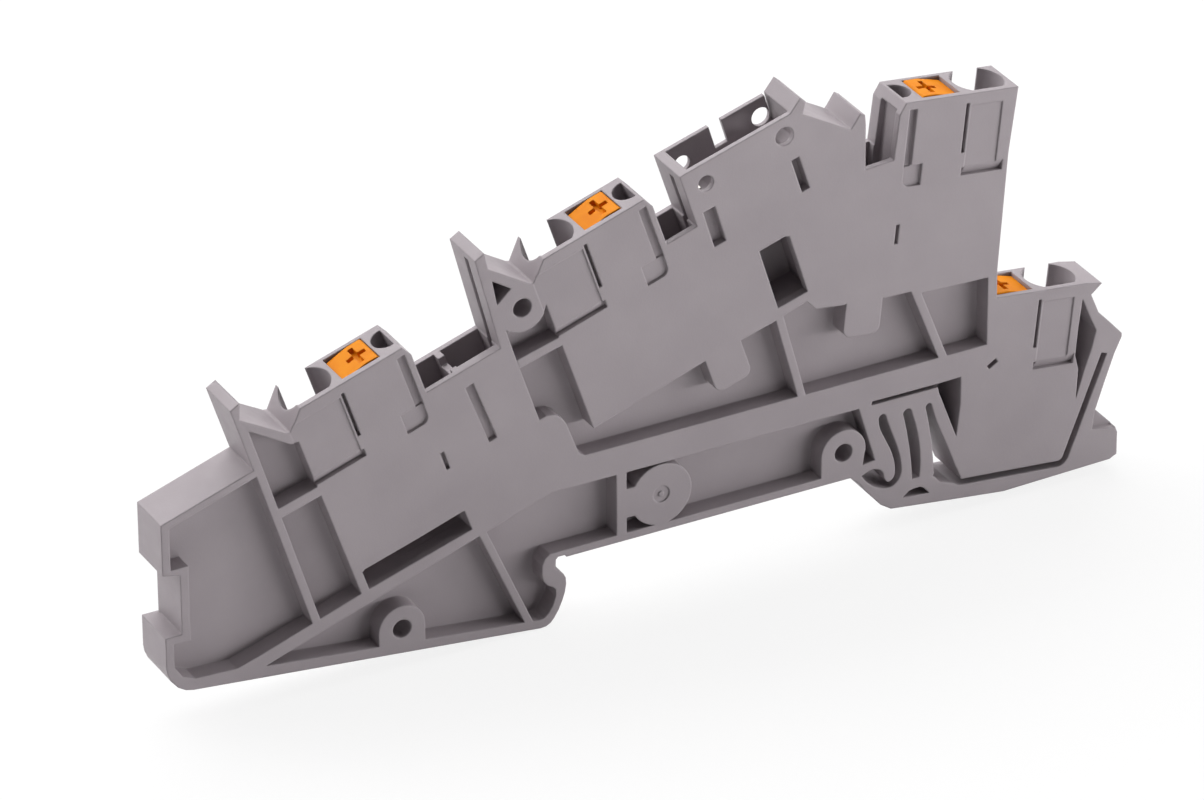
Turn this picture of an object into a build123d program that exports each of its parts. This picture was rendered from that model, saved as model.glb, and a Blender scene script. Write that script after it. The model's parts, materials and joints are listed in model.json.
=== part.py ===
"""Push-in terminal block for a 35 mm rail: one narrow moulded housing with four clamps.

Millimetres, +Z up. X runs along the block and Y across its width, from the closed face (low Y)
to the open face (high Y). The origin is the middle of the rail seat.
"""
import os
from math import atan2, cos, degrees, hypot, radians, sin

from build123d import *

# Housing
WIDTH = 5.2             # across the block
SKIN = 0.65             # closed face over the chambers
WEB = 1.1               # middle web left between the two lightening pockets
SEAT_RELIEF = 0.25      # undercut at the hook's root
PLUG_SKIN = 0.55        # closed face over the plug sockets
BOSS_R = 2.5
BOSS_BORE_R = 1.0
ENGRAVED = 0.3          # depth of the shallow grooves in the closed face

# Clamp cell, in its own frame: p from the wire side, q up along the wire, 0 at the top face
CELL_LENGTH = 12.8
CELL_DEPTH = 20.5
CELL_EDGE = 0.55        # the cell's wall stands this far outside p = 0
CHAMBER_TOP = 7.7
FUNNEL_P = 2.65
FUNNEL_Y = 0.15
FUNNEL_MOUTH_R = 2.7
WIRE_R = 1.7
FUNNEL_STRAIGHT = 3.0   # depth of the mouth before it narrows
FUNNEL_DEPTH = 5.6      # where the cone meets the straight hole
FUNNEL_GAP_P0 = 1.2     # the mouth is open towards the open face between these
FUNNEL_GAP_P1 = 4.0
SPIKE_P = 0.8           # the gap starts here on the left cells, which leaves a pointed spike
FUNNEL_GAP_DEPTH = 3.6
LEDGE = 0.55            # depth of the tapered recess over the funnel, at its lower end
TEST_P = 11.8           # test opening beside the button
TEST_R = 1.5
TEST_FLAT_P = 11.95
SHAFT_TOP = 6.0         # the bridge shafts start this far below the cell's top
SHAFT_P = 13.0
SHAFT_LENGTH = 3.1
SECOND_SHAFT = 4.3      # length of the lower left block's second shaft, up to the fin
SHAFT_RIB = 0.7
SHAFT_CLOSED = 8.0      # height of the wall that closes a shaft towards the open face
TAB_DEPTH = 4.2         # the tab under a shaft

# Release buttons
WELL_P0 = 5.8
WELL_P1 = 10.05
WELL_STRAP = 0.45       # wall that closes the wells towards the open face
WELL_STRAP_DEPTH = 6.0
BUTTON_GAP = 0.06       # running gap on each side in its well
BUTTON_WIDTH = 3.8      # across the block
BUTTON_PROUD = 0.1
BUTTON_SLOPE = 0.5      # how far the top falls towards the wire
BUTTON_FOOT = 0.5       # body below the stop lug
TOE_WIDTH = 1.5
TOE_GAP = 0.1           # above the spring's leg when the button is up
LUG_REACH = 0.45        # the stop under the well's shoulder
LUG_HEIGHT = 0.95
SLOT = 0.55             # width of the arms of the screwdriver slot
SLOT_DEPTH = 0.6

# Current bars
BAR = 0.9               # thickness
BAR_WIDTH = 3.3         # across the block
BAR_FLOOR = 18.6        # q of a bar's middle under its clamp
BAR_LIMB_P = 1.15       # p of the upright limb that the wire is pressed on
BAR_LIMB_TOP = 8.3
BAR_BEND = 1.3          # middle radius of the bends
BAR_GAP = 0.05          # on each side of a bar in its channel
BAND_Z = 9.3            # middle of the long run over the rail
BRIDGE_HOLE_R = 1.0

# Clamp springs
LEAF = 0.3              # thickness
LEAF_WIDTH = 3.0
LOOP_R = 1.8            # middle radius of the loop
LOOP_P = 8.8
LEG_P = 3.4             # end of the leg that lies on the bar
TIP_P = 1.95
TIP_Q = -15.3

FRONT = -WIDTH / 2
BACK = WIDTH / 2
CHAMBER_Y = FRONT + SKIN
BAR_Y = CHAMBER_Y + 0.45
LEAF_Y = BAR_Y + (BAR_WIDTH - LEAF_WIDTH) / 2
BUTTON_Y = CHAMBER_Y + 0.1
CHAMBER_FLOOR = BAR_FLOOR + BAR / 2
CHAMBER_P0 = BAR_LIMB_P - BAR / 2
CHAMBER_P1 = LOOP_P + LOOP_R + LEAF / 2 + 0.9


def face(*points):
    """Closed face through points given as (x, z), in either order."""
    pairs = zip(points, points[1:] + points[:1])
    area = sum(x0 * z1 - x1 * z0 for (x0, z0), (x1, z1) in pairs)
    return Polygon(*(points if area > 0 else points[::-1]), align=None)


def disc(x, z, radius):
    return Pos(x, z) * Circle(radius)


def ribbon(points, thickness, radius=0.0):
    """Strip of even thickness along a bent line, with round bends where a radius is given."""
    line = FilletPolyline(*points, radius=radius) if radius else Polyline(*points)
    return trace(line, thickness)


def between(first, second):
    """Face between two smooth lines, the second one starting beside the first one's end."""
    ends = [Line(first[-1], second[0]), Line(second[-1], first[0])]
    return make_face([Spline(*first), Spline(*second)] + ends)


def slab(profile, y0, y1):
    """Profile drawn in X and Z, given its depth from y0 to y1."""
    plane = Plane(origin=(0, y0, 0), x_dir=(1, 0, 0), z_dir=(0, -1, 0))
    return extrude(plane * profile, amount=y1 - y0, dir=(0, 1, 0))


class Cell:
    """Frame of one clamp: its top corner on the wire side, its tilt, and its handedness."""

    def __init__(self, name, x, z, tilt, flipped=False, tested=True):
        self.name = name
        self.x = x
        self.z = z
        self.tilt = tilt
        self.flipped = flipped
        self.tested = tested

    def at(self, p, q):
        """World X and Z of the point p, q."""
        along = -p if self.flipped else p
        c, s = cos(radians(self.tilt)), sin(radians(self.tilt))
        return (self.x + along * c - q * s, self.z + along * s + q * c)

    def p_at(self, x, q):
        """The p of the point at height q that has this world X."""
        along = (x - self.x + q * sin(radians(self.tilt))) / cos(radians(self.tilt))
        return -along if self.flipped else along

    def run(self, *pairs):
        return [self.at(p, q) for p, q in pairs]

    def box(self, p0, q0, p1, q1):
        return face(*self.run((p0, q0), (p1, q0), (p1, q1), (p0, q1)))

    def put(self, solid):
        """Solid drawn with p along X and q along Z, moved to this cell."""
        if self.flipped:
            solid = mirror(solid, about=Plane.YZ)
        return Pos(self.x, 0, self.z) * Rot(0, -self.tilt, 0) * solid


TILT_LEFT = 18.5
TILT_RIGHT = -6.0
LOWER_LEFT = Cell("lower_left", -45.3, 23.9, TILT_LEFT)
UPPER_LEFT = Cell("upper_left", -19.3, 33.1, TILT_LEFT)
UPPER_RIGHT = Cell("upper_right", 33.25, 38.85, TILT_RIGHT, flipped=True)
LOWER_RIGHT = Cell("lower_right", 42.0, 14.85, TILT_RIGHT, flipped=True, tested=False)
CELLS = [LOWER_LEFT, UPPER_LEFT, UPPER_RIGHT, LOWER_RIGHT]
PLUG = Cell("plug", -3.85, 38.4, 17.4)

BOSSES = [(-34.35, -2.95), (14.5, 3.1), (-20.9, 28.7)]
DISC = (-5.9, 4.1)
DISC_R = 3.35


def base_run(cell, end_p):
    """Bar line of a clamp: down the limb and along the chamber's floor."""
    return cell.run((BAR_LIMB_P, -BAR_LIMB_TOP), (BAR_LIMB_P, -BAR_FLOOR), (end_p, -BAR_FLOOR))


def lower_bar_line():
    left = base_run(LOWER_LEFT, 17.3)
    right = LOWER_RIGHT.run((BAR_LIMB_P, -BAR_FLOOR), (BAR_LIMB_P, -BAR_LIMB_TOP))
    drop_x = 28.95
    corner = LOWER_RIGHT.at(LOWER_RIGHT.p_at(drop_x, -BAR_FLOOR), -BAR_FLOOR)
    return left + [(-20.4, BAND_Z), (drop_x, BAND_Z), corner] + right


def upper_left_bar_line():
    return base_run(UPPER_LEFT, 17.9) + UPPER_LEFT.run((17.9, -3.0))


def upper_right_bar_line():
    return base_run(UPPER_RIGHT, 18.6) + [(11.6, 27.4), (8.6, 31.7), (7.1, 37.2)]


def outline():
    """Whole side view of the housing."""
    left = [(-59.4, 10.0), (-59.4, 15.5), (-49.6, 18.8), (-51.85, 25.8), (-50.85, 26.4)]
    groove_1 = [(-50.9, 24.6), (-46.0, 21.85)]
    start = [(-0.95, -1.9), (0.75, 0), (12.2, 0), (12.8, -1.2), (12.8, -6)]
    cell_1 = LOWER_LEFT.run(*start, (21.2, -6))
    groove_2 = [(-25.9, 35.0), (-24.9, 35.6), (-24.5, 33.8), (-20.0, 31.1)]
    cell_2 = UPPER_LEFT.run(*start, (16.3, -6))
    plug = PLUG.run((0, -0.4), (0, 0), (12.6, 0)) + [(9.3, 43.6), (9.9, 43.1), (9.6, 41.8)]
    groove_3 = [(14.6, 39.0), (14.95, 38.8), (15.2, 39.1), (16.0, 40.3), (16.5, 40.0)]
    groove_3 += [(16.6, 38.9), (16.6, 34.0)]
    cell_3 = UPPER_RIGHT.run((12.9, -6), (12.8, -1.2), (12.2, 0), (-0.45, 0), (-0.2, -7.0))
    cell_3 += [(31.75, 19.2), (31.75, 15.9)]
    nose = [(42.0, 14.85), (43.9, 14.4), (42.7, 13.4)]
    right = [(43.6, 11.2), (44.9, 9.8), (46.4, 8.1), (46.4, 7.7), (45.6, 6.0), (44.7, 3.5), (43.5, 0.0)]
    lever = [(44.3, -0.7), (45.9, -2.4), (46.2, -3.2), (46.2, -5.7), (45.4, -6.1), (33.0, -6.4)]
    foot = [(28.0, -5.8), (20.0, -4.8), (18.8, -4.0), (17.0, -1.9), (16.3, -0.9), (15.3, 0.0)]
    hook = [(-16.4, 0.0), (-16.6, SEAT_RELIEF), (-17.3, SEAT_RELIEF), (-17.55, 0.0), (-17.6, -0.9)]
    hook += [(-17.45, -1.2), (-17.1, -1.4), (-16.75, -1.8), (-16.5, -2.3), (-16.45, -3.0), (-16.6, -3.9)]
    hook += [(-16.9, -4.8), (-17.3, -5.7), (-17.8, -6.5), (-18.2, -6.95), (-18.7, -7.2), (-19.3, -7.25)]
    corner = [(-56.6, -3.3), (-57.4, -3.1), (-58.2, -2.6), (-58.9, -1.75), (-59.25, -0.9), (-59.35, -0.2)]
    notch = [(-59.35, 3.1), (-57.6, 3.1), (-57.6, 9.6)]
    runs = [left, groove_1, cell_1, groove_2, cell_2, plug, groove_3, cell_3, nose, right, lever]
    runs += [foot, hook, corner, notch]
    return face(*[point for run in runs for point in run])


def ribs():
    """Walls that cross the lightening pockets at full depth."""
    lines = [
        ([(-43.3, 0.0), (-51.35, 26.1)], 0.85),
        ([(-47.4, 13.3), (-42.4, 14.8)], 1.1),
        ([(-21.4, 22.7), (-16.4, 24.1)], 1.0),
        (LOWER_LEFT.run((-0.1, -19.5), (-0.1, -24.0)), 0.9),
        ([(-25.5, 5.2), (-20.4, -6.6)], 0.8),
        ([(-10.3, 0.2), (-10.3, 8.2)], 1.1),
        ([(6.95, 21.0), (9.85, 10.4)], 0.85),
        ([(22.2, 19.8), (25.8, 10.6)], 0.9),
    ]
    walls = Sketch()
    for points, thickness in lines:
        walls += ribbon(points, thickness)
    return walls


def bosses():
    """Dowel bosses with their footings, and the ejector disc."""
    x, z = BOSSES[0]
    solid = disc(x, z, BOSS_R)
    solid += face((x - BOSS_R, z), (x + BOSS_R, z), (x + BOSS_R, z - 4), (x - BOSS_R, z - 4))
    x, z = BOSSES[1]
    solid += disc(x, z, BOSS_R)
    solid += face((x - BOSS_R, z), (x + BOSS_R, z), (x + 2.1, 0.5), (x - BOSS_R, 0.5))
    x, z = BOSSES[2]
    solid += disc(x, z, BOSS_R + 0.1)
    solid += face((-24.6, 33.6), (-20.3, 31.0), (-18.6, 31.2), (-18.3, 28.3), (-22.4, 26.4), (-24.2, 29.0))
    solid += disc(*DISC, DISC_R) + face((-10.2, 2.5), (-7.5, 2.5), (-7.5, 5.7), (-10.2, 5.7))
    return solid


def cell_bodies():
    """Blocks round the clamps, with the tabs under the two upper bridge shafts."""
    solid = LOWER_LEFT.box(-CELL_EDGE, -CELL_DEPTH, 13, -2.2)
    solid += UPPER_LEFT.box(-CELL_EDGE, -CELL_DEPTH, 16.6, -2.2)
    end = -CELL_DEPTH - TAB_DEPTH
    for cell in (UPPER_LEFT, UPPER_RIGHT):
        solid += cell.box(12.4, end + 0.9, 16.5, -19) + cell.box(13.3, end, 15.6, -19)
        for p in (13.3, 15.6):
            solid += disc(*cell.at(p, end + 0.9), 0.9)
    return solid


def lightening():
    """Side view of the pockets that are sunk from both faces."""
    left = [(-58.55, 14.95), (-49.2, 18.1), (-50.4, 23.4), (-45.7, 20.6), (-44.0, 20.5), (-36.0, 8.0)]
    left += [(-27.4, 8.2), (-26.6, 5.95), (-38.0, 2.4), (-49.5, -1.55), (-52.0, -2.3), (-56.4, -2.1)]
    left += [(-57.7, -1.5), (-58.5, -0.3), (-58.5, 2.25), (-56.7, 2.25), (-56.7, 10.4), (-58.55, 10.4)]
    lower = [(-49.0, -2.9), (-26.2, 4.85), (-18.0, 7.6), (16.2, 7.6), (18.1, 1.3), (15.0, 0.85)]
    lower += [(-18.2, 0.8), (-18.75, 0.4), (-19.05, -0.3), (-19.1, -1.4), (-18.9, -2.1), (-18.45, -2.7)]
    lower += [(-17.9, -3.0), (-17.6, -3.35), (-17.6, -4.1), (-17.95, -5.1), (-18.4, -5.8), (-18.9, -6.2)]
    lower += [(-19.5, -6.3)]
    middle = [(-21.3, 22.3), (-22.7, 26.7), (-18.5, 29.0), (-12.0, 14.6), (0.0, 19.0), (2.9, 18.85)]
    middle += [(6.6, 19.9), (7.6, 20.3), (10.2, 21.2), (11.2, 20.1), (14.4, 19.7), (16.5, 20.5)]
    middle += [(18.9, 19.3), (22.3, 19.2), (23.1, 18.7), (30.7, 18.5), (30.7, 10.95), (-14.3, 10.75)]
    middle += [(-14.9, 11.1), (-16.3, 14.8), (-16.8, 15.6), (-17.5, 16.1), (-18.4, 16.25), (-19.2, 16.0)]
    cut = face(*left) + face(*lower) + face(*middle) - ribs() - bosses() - cell_bodies()
    return cut


def deep_pockets():
    """Pockets sunk from the closed face only, with a floor flush with the open face."""
    cut = face((-38.3, 4.75), (-27.4, 8.15), (-26.7, 5.95), (-37.5, 2.55))
    cut += face((-24.1, 32.4), (-22.1, 31.1), (-23.6, 29.7))
    cut += face((17.6, 7.6), (25.2, 7.6), (25.1, 8.02), (17.7, 8.02))
    cheek = [(41.7, 13.2), (42.5, 11.2), (43.4, 9.2), (42.9, 7.2), (42.1, 5.0), (41.2, 1.9)]
    cut += face(*cheek, (41.4, 5.3), (41.0, 7.0), (41.3, 10.2))
    cut += face((25.1, 8.0), (27.8, 8.1), (27.8, 5.0), (27.4, 1.4), (25.3, 7.0))
    cut += face((21.3, -3.9), (22.0, -3.35), (22.5, -3.2), (23.3, -3.2), (23.7, -3.4), (24.4, -4.2))
    return cut


def foot_slots():
    """Slots through the snap foot, which leave its webs free to flex."""
    hooked = [(19.35, 5.8), (19.85, 4.3), (20.7, 1.95), (21.1, 0.2), (21.0, -1.35), (20.2, -2.2)]
    hooked += [(18.6, -2.05), (17.2, -1.0), (16.6, -0.1)]
    web = [(17.2, 0.15), (18.5, 0.1), (19.05, -0.4), (19.25, -1.2), (19.7, -1.6), (20.2, -1.3)]
    web += [(20.4, -0.4), (20.15, 1.15), (19.35, 3.1), (18.6, 4.8), (18.45, 5.8)]
    cut = between(hooked, web) + disc(18.9, 5.8, 0.45)
    cut += between([(21.25, 5.6), (21.8, 3.0), (22.2, 0.3), (22.4, -2.05)],
                   [(23.2, -2.05), (23.3, 0.3), (23.0, 2.8), (22.25, 5.6)]) + disc(21.75, 5.6, 0.5)
    cut += between([(23.8, 5.7), (24.35, 2.9), (24.7, 0.3), (24.85, -1.9)],
                   [(28.2, -3.9), (27.4, -2.0), (26.2, 1.1), (25.25, 3.4), (24.55, 5.7)])
    cut += disc(24.18, 5.7, 0.37)
    cut += ribbon([(24.9, -2.1), (27.9, -3.95), (39.9, -5.05), (44.4, 6.35)], 0.7, 1.0)
    cut += face((24.85, -1.5), (24.95, -2.5), (25.6, -3.3), (26.8, -3.75), (28.3, -4.2), (27.5, -2.2))
    return cut


def funnel(cell):
    """Wire entry: a cone that narrows to a straight hole above the contact limb."""
    hang = (Align.CENTER, Align.CENTER, Align.MAX)
    cone = Cone(WIRE_R, FUNNEL_MOUTH_R, FUNNEL_DEPTH - FUNNEL_STRAIGHT, align=hang)
    bore = Cylinder(WIRE_R, CHAMBER_TOP + 0.3, align=hang)
    mouth = Pos(0, 0, 0.5) * Cylinder(FUNNEL_MOUTH_R, FUNNEL_STRAIGHT + 0.5, align=hang)
    hole = Pos(FUNNEL_P, FUNNEL_Y, 0) * (Pos(0, 0, -FUNNEL_STRAIGHT) * cone + bore + mouth)
    gap_start = FUNNEL_GAP_P0 if cell.flipped else SPIKE_P
    gap = cell.box(gap_start, -FUNNEL_GAP_DEPTH, FUNNEL_GAP_P1, 0.5)
    room = Pos(FUNNEL_P, (CHAMBER_Y + BACK + 1) / 2, -5) * Box(8, BACK + 1 - CHAMBER_Y, 14)
    return [cell.put(hole & room), slab(gap, FUNNEL_Y + 1.2, BACK + 1)]


def test_opening(cell):
    hang = (Align.CENTER, Align.CENTER, Align.MAX)
    hole = Pos(TEST_P, FUNNEL_Y, 0.5) * Cylinder(TEST_R, CHAMBER_TOP + 1, align=hang)
    hole -= Pos(TEST_FLAT_P + 2, 0, 0) * Box(4, WIDTH, 40)
    return cell.put(hole)


def chambers():
    """Room for the clamps and bars, open towards the open face."""
    cut = []
    for cell in CELLS:
        end = CHAMBER_P1 if cell.tested else LOOP_P + LOOP_R + LEAF / 2 + 0.05
        main = cell.box(CHAMBER_P0, -CHAMBER_FLOOR, end, -CHAMBER_TOP)
        well = cell.box(WELL_P0, -CHAMBER_TOP - 0.5, WELL_P1, 1.0)
        strap = cell.box(WELL_P0 - 1, -WELL_STRAP_DEPTH, WELL_P1 + 1, 1.5)
        under_ledge = cell.box(CHAMBER_P0 - 0.5, -9.4, WELL_P0 - 0.4, -CHAMBER_TOP + 0.5)
        cut.append(slab(main - under_ledge + well, CHAMBER_Y, BACK - WELL_STRAP))
        cut.append(slab(main - under_ledge + (well - strap), CHAMBER_Y, BACK + 1))
        cut.append(slab(main & under_ledge, CHAMBER_Y + 0.35, BACK + 1))
        cut += funnel(cell)
        if cell.tested:
            cut.append(test_opening(cell))
    end = SHAFT_P + SHAFT_LENGTH
    second = end + SHAFT_RIB
    shafts = [(LOWER_LEFT, SHAFT_P, end, 0), (UPPER_LEFT, SHAFT_P, end, 0), (UPPER_RIGHT, SHAFT_P, end, 0)]
    shafts.append((LOWER_LEFT, second, second + SECOND_SHAFT, 0.35))
    for cell, p0, p1, floor in shafts:
        top = cell.box(p0, -CHAMBER_FLOOR, p1, -SHAFT_TOP + 1)
        cut.append(slab(top, CHAMBER_Y + floor, BACK - 0.6))
        open_side = cell.box(p0, -CHAMBER_FLOOR, p1, -SHAFT_TOP - SHAFT_CLOSED)
        cut.append(slab(open_side, CHAMBER_Y + floor, BACK + 1))
    notch = LOWER_LEFT.box(end - 0.1, -SHAFT_TOP - 0.9, second + 0.1, -SHAFT_TOP + 1)
    cut.append(slab(notch, CHAMBER_Y + 0.6, 1.0))
    for cell in (UPPER_LEFT, UPPER_RIGHT):
        cut.append(slab(cell.box(13.2, 0.9 - CELL_DEPTH - TAB_DEPTH, 15.7, -18), CHAMBER_Y, BACK + 1))
    for line in (lower_bar_line(), upper_left_bar_line(), upper_right_bar_line()):
        cut.append(slab(ribbon(line, BAR + 2 * BAR_GAP, BAR_BEND), BAR_Y, BACK + 1))
    return cut


def plug_zone():
    """Sockets for plugs at the top, closed towards the open face by a strap."""
    upper = [(-3.0, 39.6), (8.0, 43.1), (9.0, 39.2), (8.25, 38.2), (1.0, 34.9), (-1.7, 34.9)]
    room = face(*upper, (-2.7, 37.9))
    room += face((2.1, 39.0), (8.25, 39.0), (8.25, 31.2), (7.2, 30.3), (2.1, 30.3))
    strap = PLUG.box(-0.5, -4.5, 12.4, 2.0)
    notch = PLUG.box(6.0, -2.6, 7.45, 2.0)
    floor = FRONT + PLUG_SKIN
    cut = [slab(room, floor, BACK - 0.5), slab(room - strap, floor, BACK + 1)]
    cut.append(slab(notch, BACK - 1, BACK + 1))
    cut.append(slab(disc(-1.0, 37.0, 0.85) + disc(7.6, 39.9, 1.0), FRONT - 1, BACK + 1))
    return cut


def closed_face_details():
    """Grooves and slots in the closed face."""
    cut = []
    for cell in CELLS:
        start = 0.35 if cell.flipped else -CELL_EDGE - 0.5
        recess = cell.box(start + (0.8 if cell.flipped else 0.0), -8.0, 4.75, -1.3)
        cut.append(slab(recess, FRONT - 1, FRONT + 0.12))
        cut.append(slab(cell.box(4.95, -6.3, 5.3, -1.0), FRONT - 1, FRONT + 0.8))
        ledge = Plane.YZ * face((FRONT - 0.01, -7.6), (FRONT + LEDGE, -8.75), (FRONT - 0.01, -8.75))
        cut.append(cell.put(Pos(start, 0, 0) * extrude(ledge, amount=4.75 - start, dir=(1, 0, 0))))
        cut.append(slab(cell.box(4.7, -8.75, 5.05, -7.9), FRONT - 1, FRONT + LEDGE - 0.1))
        if cell.tested:
            p = -0.45 if cell.flipped else 0.0
            pocket = cell.box(9.6, -8.3, 12.1 + p, -6.8) + cell.box(9.6, -9.1, 11.3 + p, -6.8)
            pocket += disc(*cell.at(11.3 + p, -8.3), 0.8)
            cut.append(slab(pocket, FRONT - 1, FRONT + ENGRAVED))
            cut.append(slab(cell.box(11.3 + p, -7.0, 12.15 + p, -0.8), FRONT - 1, FRONT + 0.45))
        if cell.tested and cell is not UPPER_LEFT:
            cut.append(slab(cell.box(11.85 + p, -15.2, 12.25 + p, -13.1), FRONT - 1, FRONT + 0.55))
    cut.append(slab(ribbon([(-26.7, 21.8), (-24.2, 15.2)], 0.9), FRONT - 1, FRONT + 0.5))
    cut.append(slab(ribbon([(-0.65, 34.1), (0.6, 30.05)], 1.35), FRONT - 1, BAR_Y - 0.2))
    cut.append(slab(ribbon([(8.8, 37.2), (10.0, 33.5)], 0.9), FRONT - 1, FRONT + 1.2))
    cut.append(slab(ribbon([(30.9, 8.3), (31.9, 8.9)], 0.5), FRONT - 1, FRONT + 0.6))
    window = face((4.9, 28.1), (7.7, 29.0), (8.2, 28.9), (8.35, 28.5), (10.3, 22.3), (7.0, 21.3))
    behind = face((3.6, 28.0), (4.4, 29.4), (8.2, 30.0), (9.0, 28.9), (10.9, 22.3), (6.6, 21.0))
    cut.append(slab(window, FRONT - 1, BACK - 0.7))
    cut.append(slab(behind, FRONT + 1.0, BACK - 0.7))
    ring = disc(*DISC, 0.9) - disc(*DISC, 0.3)
    cut.append(slab(ring, FRONT - 1, FRONT + 0.12))
    lever_end = face((43.6, 0.3), (46.4, -2.3), (45.75, -2.6), (43.25, -2.1), (43.35, -0.9))
    cut.append(slab(lever_end, FRONT - 1, FRONT + 0.9))
    return cut


def shaft_wall_grooves():
    """Grooves down the walls that stand beside the bridge shafts, and the recess in the tallest one."""
    plug_wall = PLUG.box(-0.4, -9.0, 0.45, -0.9)
    fin_wall = ribbon([(-25.75, 34.3), (-23.25, 24.6), (-22.3, 20.8)], 1.2)
    recess = UPPER_RIGHT.box(CELL_LENGTH - 0.5, -CHAMBER_FLOOR, SHAFT_P + 0.1, -1.0)
    return [slab(plug_wall + fin_wall, FRONT + 1.75, FRONT + 2.6), slab(recess, FRONT + 0.8, FRONT + 3.7)]


def housing():
    solid = slab(outline(), FRONT, BACK)
    pockets = lightening()
    deep = deep_pockets()
    solid -= slab(pockets, FRONT - 1, -WEB / 2)
    solid -= slab(pockets - deep, WEB / 2, BACK + 1)
    solid -= slab(deep, FRONT - 1, BACK - 0.9)
    solid -= slab(foot_slots(), FRONT - 1, BACK + 1)
    for cut in chambers() + plug_zone() + closed_face_details() + shaft_wall_grooves():
        solid -= cut
    for x, z in BOSSES:
        solid -= slab(disc(x, z, BOSS_BORE_R), FRONT - 1, BACK + 1)
    return solid


def current_bar(line, bridges):
    """Stamped and bent strip with a hole for each bridge leg."""
    bar = slab(ribbon(line, BAR, BAR_BEND), BAR_Y, BAR_Y + BAR_WIDTH)
    for cell, p in bridges:
        bar -= cell.put(Pos(p, BAR_Y + BAR_WIDTH / 2, -BAR_FLOOR) * Cylinder(BRIDGE_HOLE_R, 3))
    return bar


def loop_turn():
    """Angle on the loop, in degrees, where the free leg leaves it."""
    dp, dq = TIP_P - LOOP_P, TIP_Q - LOOP_Q
    reach = hypot(dp, dq)
    leg = (reach ** 2 - LOOP_R ** 2) ** 0.5
    return degrees(atan2(dq, dp) - atan2(leg, LOOP_R))


LEG_Q = -BAR_FLOOR + BAR / 2 + LEAF / 2
LOOP_Q = LEG_Q + LOOP_R


def clamp_spring(cell):
    """Leaf with one leg on the bar, a loop, and a free leg that presses the wire on the limb."""
    turn = loop_turn()
    start = (LOOP_P + LOOP_R * cos(radians(turn)), LOOP_Q + LOOP_R * sin(radians(turn)))
    line = Line((LEG_P, LEG_Q), (LOOP_P, LEG_Q))
    line += CenterArc((LOOP_P, LOOP_Q), LOOP_R, -90, turn + 90)
    line += Line(start, (TIP_P, TIP_Q))
    return cell.put(slab(trace(line, LEAF), LEAF_Y, LEAF_Y + LEAF_WIDTH))


def toe_q(p):
    """Height of the free leg's upper side at p."""
    turn = radians(loop_turn())
    start_p, start_q = LOOP_P + LOOP_R * cos(turn), LOOP_Q + LOOP_R * sin(turn)
    slope = (start_q - TIP_Q) / (start_p - TIP_P)
    return start_q - slope * (start_p - p) + LEAF / 2 / cos(atan2(slope, 1))


def release_button(cell):
    """Button with a screwdriver slot, a toe over the spring's leg and a stop lug."""
    p0, p1 = WELL_P0 + BUTTON_GAP, WELL_P1 - BUTTON_GAP
    toe = toe_q(p0 + TOE_WIDTH) + TOE_GAP
    lug_top = -CHAMBER_TOP - BUTTON_GAP
    foot = lug_top - LUG_HEIGHT - BUTTON_FOOT
    top = [(p0, BUTTON_PROUD - BUTTON_SLOPE), (p0 + 2.6, BUTTON_PROUD)]
    top += [(p1 - 0.2, BUTTON_PROUD), (p1, BUTTON_PROUD - 0.2)]
    side = face(*top, (p1, foot), (p0 + TOE_WIDTH, foot), (p0 + TOE_WIDTH, toe), (p0, toe))
    lug_p = p1 if cell.tested else p0
    side += Pos(lug_p, lug_top - LUG_HEIGHT / 2) * Rectangle(2 * LUG_REACH, LUG_HEIGHT)
    body = slab(side, BUTTON_Y, BUTTON_Y + BUTTON_WIDTH)
    middle = Pos(p1 - 1.55, BUTTON_Y + BUTTON_WIDTH / 2, BUTTON_PROUD)
    slot = Box(SLOT, 2.7, 2 * SLOT_DEPTH) + Box(2.1, SLOT, 2 * SLOT_DEPTH)
    return cell.put(body - middle * slot)


def save(shape, name):
    export_step(shape, f"parts/{name}.step")


os.makedirs("parts", exist_ok=True)
save(housing(), "housing")
save(current_bar(lower_bar_line(), [(LOWER_LEFT, 14.5)]), "lower_current_bar")
save(current_bar(upper_left_bar_line(), [(UPPER_LEFT, 14.5)]), "upper_left_current_bar")
save(current_bar(upper_right_bar_line(), [(UPPER_RIGHT, 14.5)]), "upper_right_current_bar")
for cell in CELLS:
    save(clamp_spring(cell), f"{cell.name}_spring")
    save(release_button(cell), f"{cell.name}_button")
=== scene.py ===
import json
from math import acos, atan2, cos, hypot, pi, radians, sin

import bpy
import numpy as np
from mathutils import Matrix, Vector


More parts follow.
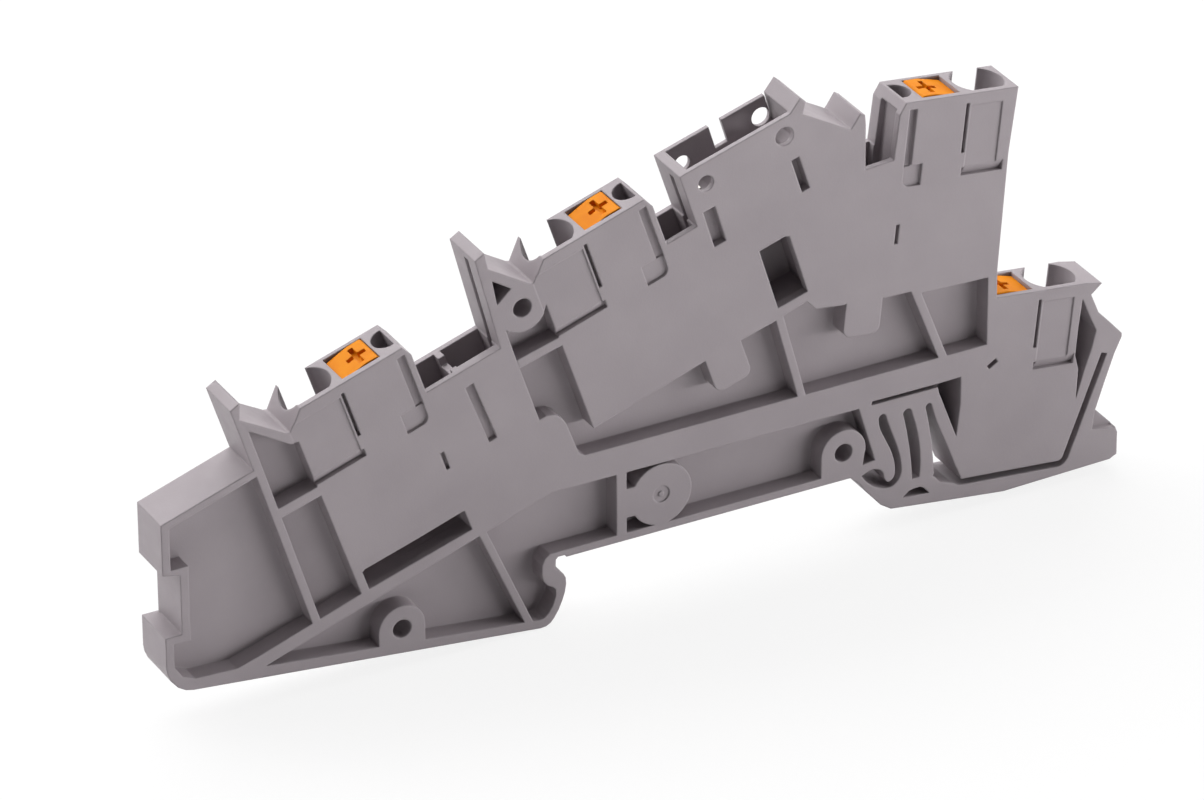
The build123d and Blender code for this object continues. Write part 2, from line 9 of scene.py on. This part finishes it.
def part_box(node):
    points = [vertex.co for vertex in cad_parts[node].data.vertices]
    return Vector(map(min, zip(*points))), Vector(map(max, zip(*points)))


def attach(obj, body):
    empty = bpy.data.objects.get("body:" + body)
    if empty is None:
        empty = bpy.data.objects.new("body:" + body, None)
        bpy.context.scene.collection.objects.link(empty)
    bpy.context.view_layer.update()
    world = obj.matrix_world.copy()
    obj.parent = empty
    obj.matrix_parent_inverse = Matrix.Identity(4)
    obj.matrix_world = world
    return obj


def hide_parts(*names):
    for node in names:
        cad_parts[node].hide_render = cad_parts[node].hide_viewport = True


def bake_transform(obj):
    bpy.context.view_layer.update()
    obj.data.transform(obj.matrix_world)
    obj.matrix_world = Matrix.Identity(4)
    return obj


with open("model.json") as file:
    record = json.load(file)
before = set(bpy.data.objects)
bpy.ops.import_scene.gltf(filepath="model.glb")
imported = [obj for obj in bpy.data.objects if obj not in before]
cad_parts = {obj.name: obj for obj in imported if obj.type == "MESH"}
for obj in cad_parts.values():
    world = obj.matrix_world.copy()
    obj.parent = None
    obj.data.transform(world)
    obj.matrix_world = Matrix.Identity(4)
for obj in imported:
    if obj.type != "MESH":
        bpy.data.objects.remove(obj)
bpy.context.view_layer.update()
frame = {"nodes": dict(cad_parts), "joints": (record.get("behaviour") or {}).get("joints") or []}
nodes = frame["nodes"]


# Housing
# One thin-walled injection moulding in grey polyamide, with the hook and the sprung foot moulded on.
# The mould is spark-eroded, which leaves a fine dull grain, and its corners come out slightly round.
class Value:
    """A shader socket that takes part in sums like a number; each sum adds its Math node."""

    def __init__(self, graph, socket):
        self.graph = graph
        self.socket = socket

    def __add__(self, other):
        return self.graph.math("ADD", self, other)

    def __mul__(self, other):
        return self.graph.math("MULTIPLY", self, other)

    def __sub__(self, other):
        return self.graph.math("SUBTRACT", self, other)

    def __rsub__(self, other):
        return self.graph.math("SUBTRACT", other, self)

    __radd__ = __add__
    __rmul__ = __mul__


class Graph:
    """The shader nodes of one material, or of the world."""

    def __init__(self, owner):
        owner.use_nodes = True
        self.tree = owner.node_tree

    def node(self, kind, settings, sockets):
        """Adds a node: its settings first, then the value or link of each socket. Returns its outputs."""
        made = self.tree.nodes.new(kind)
        for name, setting in settings.items():
            setattr(made, name, setting)
        self.fill(made, sockets)
        return {output.name: Value(self, output) for output in made.outputs if output.enabled}

    def fill(self, made, sockets):
        """Links or sets each socket, by its name or by its number among those that are shown."""
        for name, value in sockets.items():
            shown = [socket for socket in made.inputs if socket.enabled]
            socket = shown[name] if isinstance(name, int) else next(s for s in shown if s.name == name)
            if isinstance(value, Value):
                self.tree.links.new(value.socket, socket)
            else:
                socket.default_value = value

    def math(self, operation, first, second):
        return self.node("ShaderNodeMath", {"operation": operation}, {0: first, 1: second})["Value"]

    def mix(self, factor, first, second):
        """The first colour where the factor is 0, and the second where it is 1."""
        sockets = {"Factor": factor, "A": first, "B": second}
        return self.node("ShaderNodeMix", {"data_type": "RGBA"}, sockets)["Result"]

    def seen(self):
        """1 for a ray from the camera, a gloss or a glass, and 0 for light that falls on the object."""
        ray = self.node("ShaderNodeLightPath", {}, {})
        straight = self.math("MAXIMUM", ray["Is Camera Ray"], ray["Is Glossy Ray"])
        return self.math("MAXIMUM", straight, ray["Is Transmission Ray"])


class Finish(Graph):
    """A material with its Principled shader, patterned on the object's own coordinates in metres."""

    def __init__(self, name):
        self.material = bpy.data.materials.new(name)
        super().__init__(self.material)
        self.shader = self.tree.nodes["Principled BSDF"]
        self.place = self.node("ShaderNodeTexCoord", {}, {})["Object"]

    def noise(self, per_metre, detail):
        """Soft noise spread over 0 to 1, where plain noise stays near the middle."""
        lowest = 0.3
        gain = 2.5
        sockets = {"Vector": self.place, "Scale": per_metre, "Detail": detail}
        value = self.node("ShaderNodeTexNoise", {}, sockets)["Fac"]
        return self.node("ShaderNodeClamp", {}, {"Value": (value - lowest) * gain})["Result"]

    def surface(self, sockets):
        """Sets or links sockets of the Principled shader."""
        self.fill(self.shader, sockets)

    def relief(self, height, strength, depth, edge):
        """Fine grain of the given depth, on corners that are rounded by the radius edge."""
        soft = self.node("ShaderNodeBevel", {"samples": 8}, {"Radius": edge})["Normal"]
        sockets = {"Height": height, "Strength": strength, "Distance": depth, "Normal": soft}
        self.surface({"Normal": self.node("ShaderNodeBump", {}, sockets)["Normal"]})


def grey_moulding():
    """Dull warm grey with a faint mottle."""
    finish = Finish("grey moulding")
    darker = (0.296, 0.263, 0.280, 1)
    lighter = (0.322, 0.287, 0.304, 1)
    least_dull = 0.5
    spread = 0.1
    shade = finish.mix(finish.noise(per_metre=140.0, detail=3.0), darker, lighter)
    dullness = finish.noise(per_metre=900.0, detail=2.0) * spread + least_dull
    finish.surface({"Base Color": shade, "Roughness": dullness, "Specular IOR Level": 0.3})
    grain = finish.noise(per_metre=6000.0, detail=3.0)
    finish.relief(grain, strength=0.09, depth=0.00005, edge=0.00024)
    return finish.material


nodes["housing"].data.materials[0] = grey_moulding()


# Release buttons
# Four small orange polyamide mouldings with a cross slot for a screwdriver.
# Each snaps into its well from the open face and slides down on the clamp spring.
def orange_moulding():
    """Satin orange, all but even in colour."""
    finish = Finish("orange moulding")
    redder = (0.64, 0.185, 0.0, 1)
    yellower = (0.70, 0.235, 0.001, 1)
    shade = finish.mix(finish.noise(per_metre=500.0, detail=2.0), redder, yellower)
    finish.surface({"Base Color": shade, "Roughness": 0.5, "Specular IOR Level": 0.12})
    grain = finish.noise(per_metre=4000.0, detail=2.0)
    finish.relief(grain, strength=0.06, depth=0.00004, edge=0.00014)
    return finish.material


orange = orange_moulding()
for name in nodes:
    if name.endswith("_button"):
        nodes[name].data.materials[0] = orange


# Current bars
# Copper strip, bent to shape and tinned, pressed into channels of the housing from the open face.
# The tin is bright but not polished, with fine marks from the rolling.
def tinned_copper():
    """Pale warm metal, duller in some places than in others."""
    finish = Finish("tinned copper")
    pale_tin = (0.62, 0.6, 0.57, 1)
    least_dull = 0.3
    spread = 0.15
    dullness = finish.noise(per_metre=1200.0, detail=4.0) * spread + least_dull
    finish.surface({"Base Color": pale_tin, "Metallic": 1.0, "Roughness": dullness})
    marks = finish.noise(per_metre=2500.0, detail=2.0)
    finish.relief(marks, strength=0.04, depth=0.00003, edge=0.00008)
    return finish.material


tin = tinned_copper()
for name in nodes:
    if name.endswith("_bar"):
        nodes[name].data.materials[0] = tin


# Clamp springs
# Each is one leaf of stainless spring steel, bent to a loop. The lower leg lies on the current bar,
# and the free leg runs back under the button's toe. On the real block it bends down with the button,
# about the loop; here it is a piece of its own, which stays where it is drawn.
def spring_steel():
    """Bright grey metal, a little duller in some places than in others."""
    finish = Finish("spring steel")
    bright_steel = (0.5, 0.5, 0.51, 1)
    least_dull = 0.25
    spread = 0.13
    dullness = finish.noise(per_metre=1500.0, detail=4.0) * spread + least_dull
    finish.surface({"Base Color": bright_steel, "Metallic": 1.0, "Roughness": dullness})
    return finish.material


mm = 0.001
leaf_thickness = 0.3 * mm
leaf_width = 3.0 * mm
leaf_edge = 0.06 * mm           # cut off each corner of the leaf's section
loop_radius = 1.8 * mm          # to the middle of the leaf; the loop's centre is the leaf's origin
lower_leg = 5.4 * mm            # from the loop's lowest point
free_tip = np.array([-6.85, 0.9]) * mm


def stretch(start, end, count):
    """Points along the straight line from start to end: start + (end - start) * t, t from 0 to 1."""
    share = np.linspace(0, 1, count)[:, None]
    return np.array(start) + (np.array(end) - np.array(start)) * share


def loop(first, last, count):
    """Points on the loop's circle, radius * (cos a, sin a), from the first angle to the last."""
    angle = np.linspace(first, last, count)
    return loop_radius * np.stack([np.cos(angle), np.sin(angle)], axis=1)


def leaf_halves():
    """Middle lines of the leaf that stays on the bar and of the leaf that bends.

    The free leg is the straight line from the tip that touches the loop, so it leaves the circle
    at the tip's own angle less the angle whose cosine is radius over distance.
    """
    leaving = atan2(free_tip[1], free_tip[0]) - acos(loop_radius / hypot(*free_tip))
    lower = stretch((-lower_leg, -loop_radius), (0, -loop_radius), count=16)
    upper = loop(0, leaving, count=24)
    fixed = np.concatenate([lower[:-1], loop(-pi / 2, 0, count=22)])
    free = np.concatenate([upper[:-1], stretch(upper[-1], free_tip, count=22)])
    return {"fixed": fixed, "free": free}


def leaf_strip(line):
    """Carries the leaf's section along a middle line: point + normal * lift, and across as it is.

    Returns the points as (along, across, up) and the faces, with a face at each end.
    """
    step = np.gradient(line, axis=0)
    step /= np.linalg.norm(step, axis=1)[:, None]
    normal = np.stack([-step[:, 1], step[:, 0]], axis=1)
    half, side, cut = leaf_thickness / 2, leaf_width / 2, leaf_edge
    across = np.array([-side, -side, cut - side, side - cut, side, side, side - cut, cut - side])
    lift = np.array([half - cut, cut - half, -half, -half, cut - half, half - cut, half, half])
    place = line[:, None, :] + normal[:, None, :] * lift[None, :, None]
    depth = np.broadcast_to(across, place.shape[:2])
    points = np.stack([place[..., 0], depth, place[..., 1]], axis=-1)
    count = len(lift)
    ring = np.arange(len(line) - 1)[:, None] * count
    corner = ring + np.arange(count)
    next_corner = ring + np.roll(np.arange(count), -1)
    sides = np.stack([corner, next_corner, next_corner + count, corner + count], axis=-1)
    last = (len(line) - 1) * count
    ends = [list(range(count))[::-1], list(range(last, last + count))]
    return points.reshape(-1, 3), sides.reshape(-1, 4).tolist() + ends


steel = spring_steel()
halves = leaf_halves()
for joint in frame["joints"]:
    button = joint["child"]
    spring = button.replace("_button", "_spring")
    low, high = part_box(spring)
    # The button's stroke is down its well. The free leg points to the wire, away from the middle
    # of the block.
    up = -np.array(joint["axis"])
    facing = -1 if (low.x + high.x) / 2 > 0 else 1
    along = facing * np.array([up[2], 0, -up[0]])
    across = np.array([0, 1, 0])
    turned = {half: leaf_strip(line) for half, line in halves.items()}
    placed = {half: points @ np.array([along, across, up]) for half, (points, _) in turned.items()}
    every = np.concatenate(list(placed.values()))
    centre = (np.array(low) + np.array(high) - every.min(axis=0) - every.max(axis=0)) / 2
    for half, points in placed.items():
        faces = turned[half][1]
        if facing < 0:
            faces = [face[::-1] for face in faces]
        mesh = bpy.data.meshes.new(f"{spring}_{half}")
        mesh.from_pydata((points + centre).tolist(), [], faces)
        mesh.materials.append(steel)
        leaf = bpy.data.objects.new(mesh.name, mesh)
        bpy.context.scene.collection.objects.link(leaf)
        if half == "fixed":
            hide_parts(spring)
            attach(leaf, "block")
        else:
            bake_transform(leaf)


# Table
# A wide sheet of white paper just under the hook and the foot, the block's lowest points.
# It shows nearly white, and keeps the faint shadow of what stands on it.
table_reach = 3.0
table_z = -0.0074
table_glow = 0.85               # share of the white that the camera and the metal see
paper_white = (0.86, 0.86, 0.86, 1)
paper = Finish("paper")
paper.surface({"Base Color": paper_white, "Roughness": 0.9})
white = paper.node("ShaderNodeEmission", {}, {"Color": (1, 1, 1, 1), "Strength": 1.0})["Emission"]
dull = Value(paper, paper.shader.outputs["BSDF"])
glow = paper.seen() * table_glow
shown = paper.node("ShaderNodeMixShader", {}, {0: glow, 1: dull, 2: white})["Shader"]
paper.fill(paper.tree.nodes["Material Output"], {"Surface": shown})
corners = np.array([[-1, -1], [1, -1], [1, 1], [-1, 1]]) * table_reach
sheet = bpy.data.meshes.new("table")
points = np.column_stack([corners, np.full(len(corners), table_z)])
sheet.from_pydata(points.tolist(), [], [(0, 1, 2, 3)])
sheet.materials.append(paper.material)
table = bpy.data.objects.new("table", sheet)
bpy.context.scene.collection.objects.link(table)


# Room
# A white backdrop all round, as in a photographer's light tent.
# It is seen white, also in the metal, but lights the block only a little.
fill_light = 0.02               # share of the white that falls on the block
world = bpy.data.worlds.new("room")
bpy.context.scene.world = world
room = Graph(world)
backdrop = room.seen() * (1 - fill_light) + fill_light
room.fill(room.tree.nodes["Background"], {"Color": (1, 1, 1, 1), "Strength": backdrop})


# Lamps
# Soft panels round the block. The broad ones stand behind it, over it and at its right, and light its
# top edges. One low strip and one panel that lies on the table light its closed face from below, so
# that its pockets and slots are dark along their lower walls.
def panel(name, place, width, height, watts, facing=None):
    """A lamp of the given width and height, turned to the block unless it faces another way."""
    data = bpy.data.lights.new(name, "AREA")
    data.shape = "RECTANGLE"
    data.size = width
    data.size_y = height
    data.energy = watts
    light = bpy.data.objects.new(name, data)
    bpy.context.scene.collection.objects.link(light)
    turn = Vector(facing or (-Vector(place))).to_track_quat("-Z", "Y").to_matrix().to_4x4()
    light.matrix_world = Matrix.Translation(place) @ turn


panel("behind", place=(0.0, 0.45, 0.6), width=1.0, height=0.5, watts=6.6)
panel("over the block", place=(0.0, 0.0, 0.8), width=1.0, height=0.6, watts=2.4)
panel("left behind", place=(-0.6, 0.4, 0.4), width=0.5, height=0.5, watts=3.2)
panel("right", place=(0.8, -0.2, 0.3), width=0.5, height=0.5, watts=3.2)
panel("low right", place=(0.6, -0.6, 0.03), width=0.8, height=0.05, watts=3.4)
panel("on the table", place=(0.4, -0.25, -0.006), width=0.3, height=0.4, watts=3.8, facing=(0, 0, 1))


# Camera
# A long lens, which keeps the block's edges almost parallel in the picture.
# It stands to the left of the closed face's square view and above it.
aim = Vector((-0.0110, 0.0, 0.0147))
distance = 0.7729
azimuth = radians(28.082)
elevation = radians(29.378)
roll = radians(-0.348)
towards_lens = Vector((-sin(azimuth) * cos(elevation), -cos(azimuth) * cos(elevation), sin(elevation)))
level = (-towards_lens).to_track_quat("-Z", "Y").to_matrix().to_4x4()
lens = bpy.data.cameras.new("camera")
lens.sensor_width = 36.0
lens.lens = 239.2
lens.clip_end = 20.0
camera = bpy.data.objects.new("camera", lens)
bpy.context.scene.collection.objects.link(camera)
turned_level = level @ Matrix.Rotation(roll, 4, "Z")
camera.matrix_world = Matrix.Translation(aim + towards_lens * distance) @ turned_level
bpy.context.scene.camera = camera
bpy.context.scene.view_settings.view_transform = "Standard"
